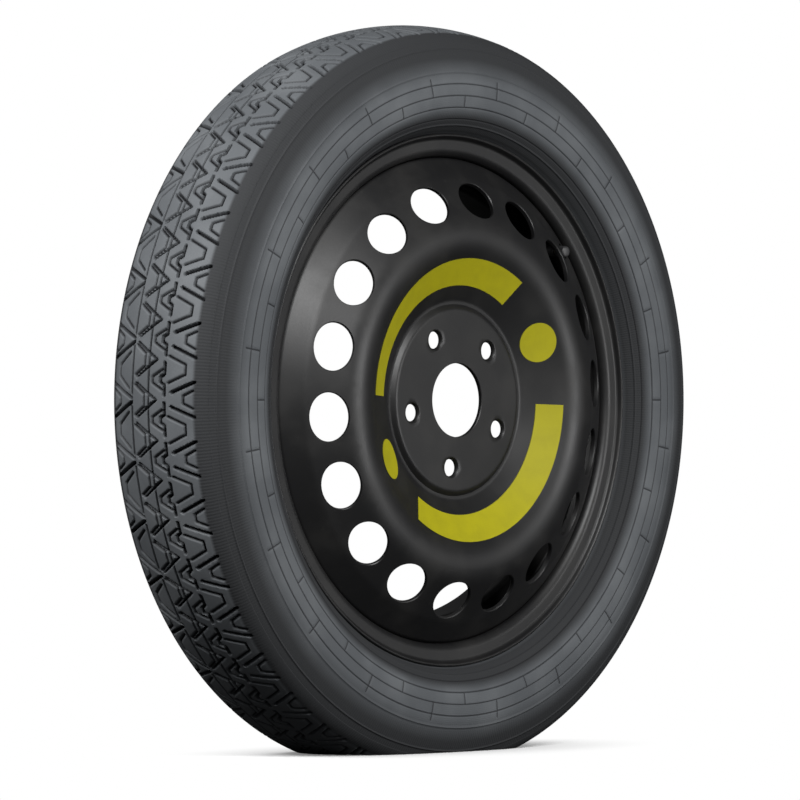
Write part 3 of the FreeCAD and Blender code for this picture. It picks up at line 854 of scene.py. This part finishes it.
@dataclass
class Disc:
    """Pressed disc: two faces of a bent sheet, with each hole in a patch of its own. Lengths in millimetres."""

    finish: bpy.types.Material
    sheet: float = 4.0
    bore: float = 32.55
    corners: tuple[tuple[float, float], ...] = (
        (32.55, -2.0), (80.0, -2.0), (83.5, 1.5), (88.0, 1.5), (146.0, -28.052), (194.0, -0.340),
        (212.81, 15.443), (211.93, 25.443))
    bends: tuple[float, ...] = (2.6, 2.6, 5.0, 36.0, 22.0, 6.0)
    bend_steps: int = 17
    skirt: float = 209.0
    bore_edge: float = 0.5
    shares: tuple[float, ...] = (1.0, 0.7, 0.4, 0.15)
    bolts: Hole = Hole(60.0, 7.5, 1.0, 36.0, 46.6, 5, 44.0, 74.0,
                       ((0.5, 1.0), (0.0, 0.86), (0.0, 0.65), (1.5, 0.06), (1.9, 0.0)))
    vents: Hole = Hole(175.7, 21.2, 0.7353, 10.0, 5.0, 18, 150.0, 193.4,
                       ((0.7, 1.0), (0.1, 0.84), (0.0, 0.5), (0.1, 0.16), (0.8, 0.0)), -0.25, 2.0)
    valve: Hole = Hole(201.45, 7.0, 1.0, 4.5, 41.5, 1, 193.4, 209.0,
                       ((0.4, 1.0), (0.0, 0.85), (0.0, 0.15), (0.4, 0.0)))

    def __post_init__(self) -> None:
        """Works out both faces of the sheet."""
        path = rounded_path(np.array(self.corners), self.bends, self.bend_steps)
        self.back, self.front = sheet_sides(path, self.sheet)

    def face_y(self, radius: Array, through: Any) -> Array:
        """Place along the axle of a point of the sheet, from 0 on its front to 1 on its back."""
        heights = []
        for face in (self.front, self.back):
            rising = face[:int(np.argmax(face[:, 0] > self.skirt)) + 1]
            heights.append(np.interp(radius, rising[:, 0], rising[:, 1]))
        return heights[0] + (heights[1] - heights[0]) * through

    def ring(self, radius: Array, through: float, first: float, last: float, count: int,
             twist: tuple[float, float]) -> Surface:
        """A plain ring of one face: radius by angle, the angles eased from one ring of points to the next.

        Args:
            radius: Radii of its rows.
            through: 0 for the front face, 1 for the back.
            first: First angle in degrees.
            last: Last angle in degrees.
            count: Steps between them.
            twist: Degrees added to the angles of the first and last rows.

        Returns:
            The surface.
        """
        shift = np.interp(radius, (radius[0], radius[-1]), twist)[:, None]
        angle = np.radians(np.linspace(first, last, count + 1)[None, :] + shift)
        points = around_axle(radius[:, None], self.face_y(radius, through)[:, None], angle)
        return grid_surface(points, False, False)

    def holed(self, hole: Hole, index: int, rows: int) -> Surface:
        """A patch with a hole: rays from the hole's edge to the patch's border, on the back face, through the
        sheet and on the front face.

        Args:
            hole: The ring of holes.
            index: Which of them.
            rows: Steps along the patch's sides.

        Returns:
            The surface.
        """
        count = int(round(2 * hole.half_angle))
        turn = np.linspace(-hole.half_angle, hole.half_angle, count + 1)
        side = np.linspace(hole.low, hole.high, rows + 1)
        border_r = np.concatenate([np.full(count, hole.low), side[:-1], np.full(count, hole.high), side[:0:-1]])
        border_a = np.radians(np.concatenate([turn[:-1], np.full(rows, turn[-1]), turn[:0:-1],
                                              np.full(rows, turn[0])]))
        aside = math.radians(hole.aside)
        ray = np.arctan2(border_r * np.cos(border_a - aside) - hole.circle, border_r * np.sin(border_a - aside))
        steps = [(share, 0) for share in self.shares] + [(0.0, k) for k in range(len(hole.edge))] \
            + [(share, -1) for share in reversed(self.shares)]
        share = np.array([s for s, _ in steps])[None, :]
        wider = np.array([hole.edge[k][0] for _, k in steps])[None, :]
        through = np.array([hole.edge[k][1] for _, k in steps])[None, :]
        reach = hole.radius + wider
        up = hole.circle + hole.lean * (0.5 - through) + reach * hole.squeeze * np.sin(ray)[:, None]
        across = reach * np.cos(ray)[:, None]
        radius = np.hypot(up, across) * (1 - share) + border_r[:, None] * share
        angle = (np.arctan2(across, up) + aside) * (1 - share) + border_a[:, None] * share
        angle = angle + math.radians(hole.first_angle + index * 360.0 / hole.count)
        return grid_surface(around_axle(radius, self.face_y(radius, through), angle), True, False)

    def flange(self) -> Surface:
        """The bend and the flange that lies under the rim's seat, round its end from the front to the back."""
        tails = []
        for face, through in ((self.front, 0.0), (self.back, 1.0)):
            start = np.array([[self.skirt, float(self.face_y(np.array(self.skirt), through))]])
            tails.append(np.concatenate([start, face[int(np.argmax(face[:, 0] > self.skirt + 0.02)):]]))
        section = np.concatenate([tails[0], tails[1][::-1]])
        angle = np.radians(np.arange(360))[:, None]
        return grid_surface(around_axle(section[None, :, 0], section[None, :, 1], angle), True, False)

    def build(self) -> None:
        """Adds the disc."""
        bolt_twist = (self.bolts.first_angle - self.bolts.half_angle) % 1.0
        parts = [self.flange()]
        for through in (0.0, 1.0):
            inner = np.array([self.bore + self.bore_edge, self.bore + 3.0, self.bolts.low])
            parts.append(self.ring(inner, through, 0, 360, 360, (bolt_twist, bolt_twist)))
            dish = np.concatenate([np.linspace(self.bolts.high, 90.5, 15), np.linspace(92.5, 124.0, 10),
                                   np.linspace(125.5, self.vents.low, 14)])
            parts.append(self.ring(dish, through, 0, 360, 360, (bolt_twist, 0.0)))
            skirt = np.linspace(self.valve.low, self.valve.high, 11)
            first = self.valve.first_angle + self.valve.half_angle
            last = self.valve.first_angle - self.valve.half_angle + 360
            parts.append(self.ring(skirt, through, first, last, int(round(last - first)), (0.0, 0.0)))
        edge = self.bore + self.bore_edge * np.array([1.0, 0.0, 0.0, 1.0])
        wall = self.face_y(edge, np.array([0.0, 0.12, 0.88, 1.0]))
        angle = np.radians(np.arange(360) + bolt_twist)[:, None]
        parts.append(grid_surface(around_axle(edge[None, :], wall[None, :], angle), True, False))
        for hole, rows in ((self.bolts, 10), (self.vents, 14), (self.valve, 10)):
            parts += [self.holed(hole, index, rows) for index in range(hole.count)]
        add_piece("pressed_disc", joined(parts), self.finish, Body.WHEEL, ["disc"], merge=True)


@dataclass
class WeldSeams:
    """Four rippled weld beads at the inboard end of the disc's flange. Lengths in millimetres."""

    finish: bpy.types.Material
    radius: float = 212.1
    y: float = 26.4
    size: float = 1.9
    span: float = 52.0
    first_angle: float = 75.0
    count: int = 4
    ripple: float = 2.4
    swelling: float = 0.10
    rows: int = 240
    columns: int = 14

    def build(self) -> None:
        """Adds the beads: a round section carried along an arc, swelling at each ripple, with closed ends."""
        along = np.linspace(0, 1, self.rows)[:, None]
        around = np.linspace(0, 2 * math.pi, self.columns, endpoint=False)[None, :]
        length = math.radians(self.span) * self.radius
        swell = 1 + self.swelling * np.abs(np.sin(math.pi * along * length / self.ripple))
        ends = np.clip(np.sqrt(1 - (2 * along - 1) ** 60), 0.02, 1)
        thick = self.size * swell * ends
        first = np.arange(self.columns)
        for index in range(self.count):
            angle = np.radians(self.first_angle + index * 360.0 / self.count + along * self.span)
            points = around_axle(self.radius - thick * np.cos(around), self.y + thick * np.sin(around), angle)
            bead = grid_surface(points, False, True)
            bead.caps = [first, first[::-1] + (self.rows - 1) * self.columns]
            add_piece(f"weld_bead_{index + 1}", bead.outward(), self.finish, Body.WHEEL,
                      ["weld_seams"])


@dataclass
class Labels:
    """Yellow labels on the dish: two arcs and two rounds of thin film. Lengths in millimetres."""

    finish: bpy.types.Material
    foot: tuple[float, float] = (88.0, 1.5)
    slope: float = 27.0
    disc_sheet: float = 4.0
    film: float = 0.3
    gap: float = 0.05
    inner: float = 101.0
    outer: float = 125.0
    arc_start: float = 56.5
    arc_end: float = 178.0
    round_angle: float = 27.5
    round_radius: float = 18.0
    round_circle: float = 111.0
    edge: float = 0.5
    edge_ink: float = 0.7

    def on_dish(self, radius: Array, angle: Array, height: Any) -> Array:
        """Points of the dish's outboard cone, raised along its normal.

        Args:
            radius: Radii in millimetres.
            angle: Angles in radians.
            height: Height over the sheet in millimetres.

        Returns:
            Points in metres.
        """
        slope = math.radians(self.slope)
        middle = self.foot[1] - (radius - self.foot[0]) * math.tan(slope)
        return around_axle(radius, middle - (self.disc_sheet / 2 + height) / math.cos(slope), angle)

    def edge_mark(self, inset: Array) -> Array:
        """Ink of the cut edge, at a distance in from it."""
        return np.clip(1 - inset / self.edge, 0, 1) * self.edge_ink

    def add(self, name: str, surface: Surface) -> None:
        """Adds one label."""
        add_piece(name + "_film", surface, self.finish, Body.WHEEL, [name])

    def film_of(self, radius: Array, angle: Array, ink: Array, wrap: bool) -> Surface:
        """A film over a patch of the dish: its face, its cut edge and its underside as one closed grid.

        Args:
            radius: Radii of the patch's grid.
            angle: Angles of the patch's grid.
            ink: How dark each point is, for the cut edge.
            wrap: True if the grid's columns close into a ring.

        Returns:
            The surface.
        """
        top, low = self.gap + self.film, self.gap
        face = self.on_dish(radius, angle, top)
        under = self.on_dish(radius[::-1], angle[::-1], low)
        surface = grid_surface(np.concatenate([face, under]), True, wrap)
        surface.marks["ink"] = np.concatenate([ink, ink[::-1] * 0])
        if not wrap:
            rows, columns = len(radius) * 2, radius.shape[1]
            first = np.arange(rows) * columns
            surface.caps = [first[::-1], first + columns - 1]
        return surface.outward()

    def build(self) -> None:
        """Adds the labels."""
        edge = self.edge * np.array([0.0, 1.0, 2.0])
        radius = np.concatenate([self.inner + edge, np.linspace(self.inner + 2, self.outer - 2, 17),
                                 self.outer - edge[::-1]])
        for name, start in (("label_upper_arc", self.arc_start), ("label_lower_arc", self.arc_start + 180.0)):
            angle = np.linspace(start, start + self.arc_end - self.arc_start, 244)
            r, a = np.meshgrid(radius, angle, indexing="ij")
            ink = self.edge_mark(np.minimum(r - self.inner, self.outer - r))
            self.add(name, self.film_of(r, np.radians(a), ink, False))
        reach = np.concatenate([[0.02], np.linspace(1, self.round_radius - 1.0, 16),
                                self.round_radius - np.array([self.edge, 0.0])])
        out, turn = np.meshgrid(reach, np.linspace(0, 2 * math.pi, 96, endpoint=False), indexing="ij")
        up = self.round_circle + out * np.sin(turn) * math.cos(math.radians(self.slope))
        across = out * np.cos(turn)
        ink = self.edge_mark(self.round_radius - out)
        for name, centre in (("label_round_right", self.round_angle),
                             ("label_round_left", self.round_angle + 180.0)):
            angle = np.arctan2(across, up) + math.radians(centre)
            self.add(name, self.film_of(np.hypot(up, across), angle, ink, True))


@dataclass
class Valve:
    """Snap-in valve on its own axis: rubber body, brass stem, core and screw cap. Lengths in millimetres."""

    rubber: bpy.types.Material
    brass: bpy.types.Material
    plastic: bpy.types.Material
    steel: bpy.types.Material
    seal: bpy.types.Material
    length: float = 33.0
    rubber_end: float = 24.0
    thread_pitch: float = 0.794
    spring_floor: float = 26.0
    spring_height: float = 5.4
    spring_radius: float = 1.025
    spring_wire: float = 0.25
    spring_turns: int = 8
    pin_travel: float = 1.2
    foot: float = -6.6
    tube: float = 3.1
    body_bends: tuple[float, ...] = (0.5, 0.6, 0.3, 0.2, 0.2, 0.4, 0.6, 2.0, 0.7)
    thread_r: float = 3.85
    thread_depth: float = 0.42
    cap_r: float = 5.1
    cap_bore: float = 4.15
    cap_bottom: float = 25.2
    cap_top: float = 36.2
    cap_roof: float = 34.2
    cap_ribs: int = 24
    rib_depth: float = 0.22
    steps: int = 64

    def __post_init__(self) -> None:
        """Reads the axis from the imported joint: its point is the stem's end and it points outboard."""
        turn = next(joint for joint in frame["joints"] if joint["name"] == "cap_turn")
        self.out = np.array(turn["axis"])
        self.end = np.array(turn["pos_m"])
        across = np.cross(self.out, np.array([0.0, 0.0, 1.0]))
        self.across = across / np.linalg.norm(across)
        self.up = np.cross(self.across, self.out)

    def turned(self, radius: Array, height: Array) -> Surface:
        """Section turned about the valve's axis: a closed loop of radius and height, each a row or a grid.

        Args:
            radius: Radii, of shape (steps or 1, points).
            height: Heights from the rim sheet's middle, of the same shape.

        Returns:
            The surface, closed both ways.
        """
        angle = np.linspace(0, 2 * math.pi, self.steps, endpoint=False)[:, None]
        radius, height = np.broadcast_arrays(radius + 0 * angle, height + 0 * angle)
        spoke = np.cos(angle)[..., None] * self.across + np.sin(angle)[..., None] * self.up
        points = self.end + ((height - self.length)[..., None] * self.out + radius[..., None] * spoke) * MM
        return grid_surface(points, True, True).outward()

    def coil(self) -> Surface:
        """Round wire wound on the valve's axis between the core's floor and the pin's head, with flat ends."""
        steps_per_turn, wire_sides = 28, 10
        along = np.linspace(0, 1, steps_per_turn * self.spring_turns)[:, None]
        section = np.linspace(0, 2 * math.pi, wire_sides, endpoint=False)[None, :]
        angle = along * self.spring_turns * 2 * math.pi
        spoke = np.cos(angle)[..., None] * self.across + np.sin(angle)[..., None] * self.up
        wire = self.spring_wire / 2
        rise = along * (self.spring_height - self.spring_wire)
        height = self.spring_floor + wire + rise + wire * np.sin(section)
        reach = self.spring_radius + wire * np.cos(section)
        points = self.end + ((height - self.length)[..., None] * self.out + reach[..., None] * spoke) * MM
        surface = grid_surface(points, False, True)
        ring = np.arange(wire_sides)
        surface.caps = [ring, ring[::-1] + len(surface.points) - wire_sides]
        return surface

    def build_spring(self) -> None:
        """Adds the core's spring at rest, on a mesh of its own."""
        piece = add_piece("core_spring_coil", self.coil(), self.steel, Body.WHEEL, ["core_spring"],
                          merge=True)
        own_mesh(piece)

    def build_body(self) -> None:
        """Adds the rubber body: base, groove for the rim sheet, collar and tapered neck."""
        corners = [(self.tube, self.foot), (5.7, self.foot), (8.2, -3.1), (8.2, -1.6), (5.75, -1.6),
                   (5.75, 1.6), (7.0, 1.6), (7.0, 4.6), (5.6, 9.6), (4.8, self.rubber_end),
                   (self.tube, self.rubber_end)]
        section = rounded_path(np.array(corners), self.body_bends, 5)[None]
        add_piece("valve_rubber", self.turned(section[..., 0], section[..., 1]), self.rubber, Body.WHEEL,
                  ["valve_body"])

    def build_stem(self, angle: Array) -> None:
        """Adds the brass stem, whose thread is a zigzag that climbs one pitch each turn."""
        height = np.linspace(self.rubber_end + 0.2, self.length - 0.6, 72)
        phase = height[None, :] / self.thread_pitch - angle / (2 * math.pi)
        thread = self.thread_r - self.thread_depth * np.abs(2 * (phase % 1.0) - 1)
        tail = np.array([(3.25, self.length), (2.3, self.length), (2.3, 18.0), (1.4, 17.0), (1.4, self.foot),
                         (self.tube, self.foot), (self.tube, self.rubber_end)])
        radius = np.concatenate([thread, np.broadcast_to(tail[:, 0], (self.steps, len(tail)))], 1)
        heights = np.concatenate([height, tail[:, 1]])[None, :]
        add_piece("valve_stem_brass", self.turned(radius, heights), self.brass, Body.WHEEL,
                  ["valve_stem"], sharp=50)

    def build_cap(self, angle: Array) -> None:
        """Adds the screw cap, ribbed round its side and hollow from below."""
        bottom, top = self.cap_bottom, self.cap_top
        ribs = self.cap_r - self.rib_depth * (0.5 + 0.5 * np.cos(self.cap_ribs * angle))
        shape = np.array([(0.92, bottom), (0.98, bottom + 0.3), (1.0, bottom + 0.8), (1.0, top - 1.8),
                          (0.96, top - 0.9), (0.82, top - 0.25), (0.6, top), (0.004, top)])
        inside = np.array([(0.02, self.cap_roof), (self.cap_bore, self.cap_roof), (self.cap_bore, bottom)])
        radius = np.concatenate([ribs * shape[None, :, 0], np.broadcast_to(inside[:, 0], (self.steps, 3))], 1)
        heights = np.concatenate([shape[:, 1], inside[:, 1]])[None, :]
        add_piece("valve_cap_ribbed", self.turned(radius, heights), self.plastic, Body.CAP,
                  ["valve_cap"], sharp=50)

    def build(self) -> None:
        """Adds the valve's own pieces and dresses the inner ones."""
        angle = np.linspace(0, 2 * math.pi, self.steps, endpoint=False)[:, None]
        self.build_body()
        self.build_stem(angle)
        self.build_cap(angle)
        self.build_spring()
        inner = {"core_barrel": self.brass, "core_pin": self.brass, "core_gasket": self.seal,
                 "core_pin_seal": self.seal, "cap_seal": self.seal}
        for name, finish in inner.items():
            materials = frame["nodes"][name].data.materials
            materials.clear()
            materials.append(finish)
            LOG.info("%s: dressed as packed", name)


@dataclass(frozen=True)
class SoftBox:
    """A soft box aimed at the wheel's middle: its place and size in metres and its power in watts."""

    name: str
    place: tuple[float, float, float]
    size: tuple[float, float]
    power: float

    def build(self) -> None:
        """Adds the lamp."""
        data = bpy.data.lights.new(self.name, "AREA")
        data.shape = "RECTANGLE"
        data.size, data.size_y = self.size
        data.energy = self.power
        lamp = bpy.data.objects.new(self.name, data)
        lamp.location = self.place
        lamp.visible_camera = False
        lamp.rotation_euler = (Vector((0, 0.03, 0)) - Vector(self.place)).to_track_quat("-Z", "Y").to_euler()
        bpy.context.scene.collection.objects.link(lamp)


@dataclass
class Studio:
    """Camera, lamps, white backdrop and pale floor. Lengths in metres."""

    hub_front: tuple[float, float, float] = (0.0, -0.004, 0.0)
    azimuth: float = 48.5
    distance: float = 6.64
    focal_pixels: float = 7534.0
    frame_pixels: float = 800.0
    hub_pixel: tuple[float, float] = (457.3, 400.1)
    floor: float = -0.310
    floor_gap: float = 0.0004
    floor_half: float = 3.0
    tyre_middle: float = 55.0
    even_light: float = 0.05
    reflected: float = 0.05
    lamps: tuple[SoftBox, ...] = (
        SoftBox("front_box", (-1.2, -2.6, 1.9), (1.4, 1.4), 146.0),
        SoftBox("right_box", (1.15, -2.6, 0.1), (0.5, 0.8), 36.0),
        SoftBox("left_box", (-1.2, 0.3, 0.75), (0.6, 0.6), 24.0))

    def camera(self) -> None:
        """Camera on the photograph's line of sight, turned so that the hub falls on its pixel."""
        a = math.radians(self.azimuth)
        sight, right = Vector((math.sin(a), math.cos(a), 0)), Vector((math.cos(a), -math.sin(a), 0))
        hub = Vector(self.hub_front)
        data = bpy.data.cameras.new("camera")
        data.sensor_width = 36.0
        data.lens = self.focal_pixels / self.frame_pixels * data.sensor_width
        data.clip_end = 100.0
        eye = bpy.data.objects.new("camera", data)
        eye.location = hub - sight * self.distance
        half = self.frame_pixels / 2
        scale = self.distance / self.focal_pixels
        aside, below = ((pixel - half) * scale for pixel in self.hub_pixel)
        target = hub - right * aside + Vector((0, 0, below))
        eye.rotation_euler = (target - eye.location).to_track_quat("-Z", "Y").to_euler()
        bpy.context.scene.collection.objects.link(eye)
        bpy.context.scene.camera = eye

    def backdrop(self) -> None:
        """White behind the object, a part of it in the object's reflections, and a low even light on it."""
        world = bpy.data.worlds.new("backdrop")
        bpy.context.scene.world = world
        world.use_nodes = True
        g = Graph(world.node_tree)
        seen = g.ray("Camera") + g.ray("Transmission") + g.ray("Glossy") * self.reflected
        even = g.node("ShaderNodeBackground", {}, (1, 1, 1, 1), self.even_light)
        white = g.node("ShaderNodeBackground", {}, (1, 1, 1, 1), 1.0)
        mix = g.node("ShaderNodeMixShader", {}, seen.math("MINIMUM", 1.0), even.outputs[0], white.outputs[0])
        g.show(mix.outputs[0])

    def ground(self) -> None:
        """Pale floor that takes the wheel's shadow and clears to white away from it."""
        size = self.floor_half
        mesh = bpy.data.meshes.new("floor")
        corners = [(-size, -size), (size, -size), (size, size), (-size, size)]
        mesh.from_pydata([(x, y, self.floor - self.floor_gap) for x, y in corners], [], [(0, 1, 2, 3)])
        g = Dressing("pale_floor")
        x, y = g.axis(0), g.axis(1) - self.tyre_middle
        far = ((x * x) / 4.0 + y * y) ** 0.5
        seen = g.ray("Camera")
        white = g.node("ShaderNodeEmission", {}, (1, 1, 1, 1), 1.0)
        g.finish(Base_Color=g.blend(seen, (0.015, 0.015, 0.015), (0.9, 0.9, 0.9)), Roughness=0.9)
        clear = (far.step(45.0, 150.0) * 0.85 + 0.15) * seen
        mix = g.node("ShaderNodeMixShader", {}, clear, g.shader.outputs[0], white.outputs[0])
        g.show(mix.outputs[0])
        mesh.materials.append(g.material)
        floor = bpy.data.objects.new("floor", mesh)
        bpy.context.scene.collection.objects.link(floor)

    def build(self) -> None:
        """Sets up the studio."""
        bpy.context.scene.view_settings.view_transform = "Standard"
        self.camera()
        self.backdrop()
        self.ground()
        for lamp in self.lamps:
            lamp.build()


def main() -> None:
    """Builds the wheel piece by piece, dresses it and sets up the studio."""
    logging.basicConfig(level=logging.INFO, format="%(name)s %(message)s")
    paint = WheelPaint().make()
    Tyre(TyreRubber().make()).build()
    Rim(paint).build()
    Disc(paint).build()
    WeldSeams(paint).build()
    Labels(LabelFilm().make()).build()
    Valve(rubber=PlainFinish("valve_rubber", (0.012, 0.012, 0.012), (0.022, 0.022, 0.022), 0.5).make(),
          brass=PlainFinish("brass", (0.72, 0.50, 0.20), (0.55, 0.38, 0.15), 0.28, 1.0, 0.4).make(),
          plastic=PlainFinish("cap_plastic", (0.014, 0.014, 0.015), (0.025, 0.025, 0.026), 0.42).make(),
          steel=PlainFinish("spring_steel", (0.55, 0.55, 0.56), (0.42, 0.42, 0.43), 0.3, 1.0, 0.4).make(),
          seal=PlainFinish("seal_rubber", (0.02, 0.02, 0.02), (0.03, 0.03, 0.03), 0.6).make()).build()
    Studio().build()


if __name__ == "__main__":
    main()
